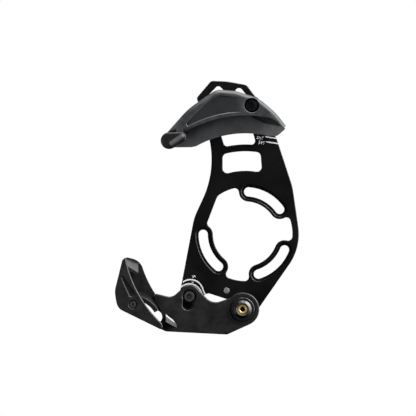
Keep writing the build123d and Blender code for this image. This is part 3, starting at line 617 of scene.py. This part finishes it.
INNER_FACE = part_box("upper_inner_wall")[0].y
HOLLOW_STARTS = INNER_FACE + 0.0006
HOLLOW_FULL = INNER_FACE + 0.0018
HOLLOW_SHADE_GREY = (0.012, 0.0124, 0.0132)
FOOT_STARTS_R, FOOT_FULL_R = 0.0842, 0.0770
FOOT_LIGHT_GREY = (0.098, 0.1006, 0.1063)
inner_nylon = skin(
    "inner_wall_nylon", dark=(0.023, 0.0237, 0.0253), light=(0.055, 0.0569, 0.0607),
    rough=0.42, rough_spread=0.14, pimples=3200.0, mottles=170.0, bump=0.000006, specular=0.45,
)
# Painted shade: the wall stays darker up under the shell's edge and is paler towards its foot, and
# is darker in the crescent recess and on all faces deeper in, the back included.
paint_light(inner_nylon, FOOT_LIGHT_GREY, FOOT_STARTS_R, FOOT_FULL_R, centre=CHAIN_CENTRE)
paint_light(inner_nylon, HOLLOW_SHADE_GREY, HOLLOW_STARTS, HOLLOW_FULL)
dress(inner_nylon, "upper_inner_wall")

GUIDE_BOLT = Vector((0.0043, 0.0, 0.0908))
sleeve_steel = turned(
    "sleeve_steel", colour=(0.4, 0.4, 0.41), rough=0.35, centre=GUIDE_BOLT, rings=3000.0,
    depth=0.000004,
)
dress(sleeve_steel, "spacer_sleeve")
nut_black = turned(
    "nut_black", colour=(0.03, 0.03, 0.032), rough=0.42, centre=GUIDE_BOLT, rings=2600.0,
    depth=0.000003, metallic=0.8,
)
dress(nut_black, "t_nut")


# Entry bumper
# Soft black rubber moulded over the shell's rear end, with a rounded finger across its face
# that quietens the chain where it slaps up into the guide, and a painted highlight along its
# crest.

FINGER_RISE = 0.0009
FINGER_HIGHLIGHT_GREY = (0.125, 0.125, 0.131)
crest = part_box("entry_bumper")[0].y
rubber = skin(
    "bumper_rubber", dark=(0.0045, 0.0045, 0.0046), light=(0.0070, 0.0070, 0.0072),
    rough=0.38, rough_spread=0.12, pimples=2600.0, mottles=260.0, bump=0.000005, specular=0.45,
)
# Painted highlight: the finger's crest is a lighter grey.
paint_light(rubber, FINGER_HIGHLIGHT_GREY, crest + FINGER_RISE, crest)
dress(rubber, "entry_bumper")


# Floor
# White paper on a table well below the guide and out of the picture, which keeps its shadow
# in other views. It thins out towards its rim and is clear from below.

FLOOR_MIDDLE = Vector((0.0, 0.0, -0.15))
FLOOR_R = 0.42
FLOOR_FADE = 0.16
FLOOR_SIDES = 64
FLOOR_LEVEL = (1.0, 1.0, 0.0)
floor_paper = skin(
    "floor_paper", dark=(0.50, 0.50, 0.50), light=(0.53, 0.53, 0.53),
    rough=0.8, rough_spread=0.1, pimples=900.0, mottles=30.0, bump=0.00002, specular=0.1,
)
floor_tree = floor_paper.node_tree
floor_place = floor_tree.nodes["Texture Coordinate"].outputs["Object"]
floor_radius = radius_from(floor_tree, floor_place, FLOOR_MIDDLE, FLOOR_LEVEL)
rim = mask_node(floor_tree, floor_radius, FLOOR_R, FLOOR_R - FLOOR_FADE)
underside = floor_tree.nodes.new("ShaderNodeNewGeometry").outputs["Backfacing"]
topside = math_node(floor_tree, "SUBTRACT", 1.0, underside)
paper_alpha = math_node(floor_tree, "MULTIPLY", rim, topside)
feed(floor_tree, floor_tree.nodes["Principled BSDF"].inputs["Alpha"], paper_alpha)
sheet = bmesh.new()
bmesh.ops.create_circle(sheet, cap_ends=True, segments=FLOOR_SIDES, radius=FLOOR_R)
bmesh.ops.translate(sheet, vec=FLOOR_MIDDLE, verts=sheet.verts)
floor = make_object("floor", sheet, floor_paper)
floor.visible_diffuse = False
floor.visible_glossy = False


# Light and camera
# White paper above, behind and to the right, and a dim room in front, so that flat black faces
# stay black and their edges shine. Four soft lamps add to it, and the lens is long.

def soft_lamp(name, place, aim, width, height, watts):
    """Rectangular area lamp that faces a point."""
    lamp = bpy.data.lights.new(name, "AREA")
    lamp.shape = "RECTANGLE"
    lamp.size, lamp.size_y = width, height
    lamp.energy = watts
    holder = bpy.data.objects.new(name, lamp)
    holder.location = place
    holder.rotation_euler = (Vector(aim) - Vector(place)).to_track_quat("-Z", "Y").to_euler()
    bpy.context.scene.collection.objects.link(holder)


MIDDLE = (-0.0265, 0.0, 0.0184)
GUIDE_TOP = (0.0, 0.0, 0.09)
soft_lamp("key_lamp", (0.80, -0.30, 0.80), MIDDLE, width=0.9, height=0.9, watts=24.0)
soft_lamp("top_lamp", (-0.05, -0.14, 0.95), GUIDE_TOP, width=0.5, height=0.3, watts=6.0)
soft_lamp("right_lamp", (0.95, -0.22, 0.10), MIDDLE, width=0.3, height=0.6, watts=5.0)
soft_lamp("left_lamp", (-0.70, -0.80, -0.20), MIDDLE, width=0.5, height=0.7, watts=3.6)

LIT_SIDE = Vector((0.66, 0.45, 0.60)).normalized()
ROOM_ENDS = -0.4
PAPER_FULL = 0.8
PAPER = 0.8
world = bpy.data.worlds.new("studio")
bpy.context.scene.world = world
world.use_nodes = True
sky = world.node_tree
sky.nodes.clear()
toward = sky.nodes.new("ShaderNodeTexCoord").outputs["Generated"]
paper = mask_node(sky, vector_math(sky, "DOT_PRODUCT", toward, LIT_SIDE), ROOM_ENDS, PAPER_FULL)
rays = sky.nodes.new("ShaderNodeLightPath").outputs
mirrored = math_node(sky, "MAXIMUM", rays["Is Glossy Ray"], rays["Is Transmission Ray"])
white = math_node(sky, "MAXIMUM", mirrored, PAPER)
white = math_node(sky, "MULTIPLY", white, paper)
white = math_node(sky, "MAXIMUM", white, rays["Is Camera Ray"])
around = sky.nodes.new("ShaderNodeBackground")
feed(sky, around.inputs["Color"], (1.0, 1.0, 1.0, 1.0))
feed(sky, around.inputs["Strength"], white)
feed(sky, sky.nodes.new("ShaderNodeOutputWorld").inputs["Surface"], around.outputs["Background"])

FRAME_WIDTH = 0.2947
LENS = 400.0
SENSOR = 36.0
camera_data = bpy.data.cameras.new("camera")
camera_data.lens = LENS
camera_data.sensor_width = SENSOR
camera = bpy.data.objects.new("camera", camera_data)
camera.location = (MIDDLE[0], PLATE_FACE - FRAME_WIDTH * LENS / SENSOR, MIDDLE[2])
camera.rotation_euler = (math.radians(90.0), 0.0, 0.0)
bpy.context.scene.collection.objects.link(camera)
bpy.context.scene.camera = camera
bpy.context.scene.view_settings.view_transform = "Standard"
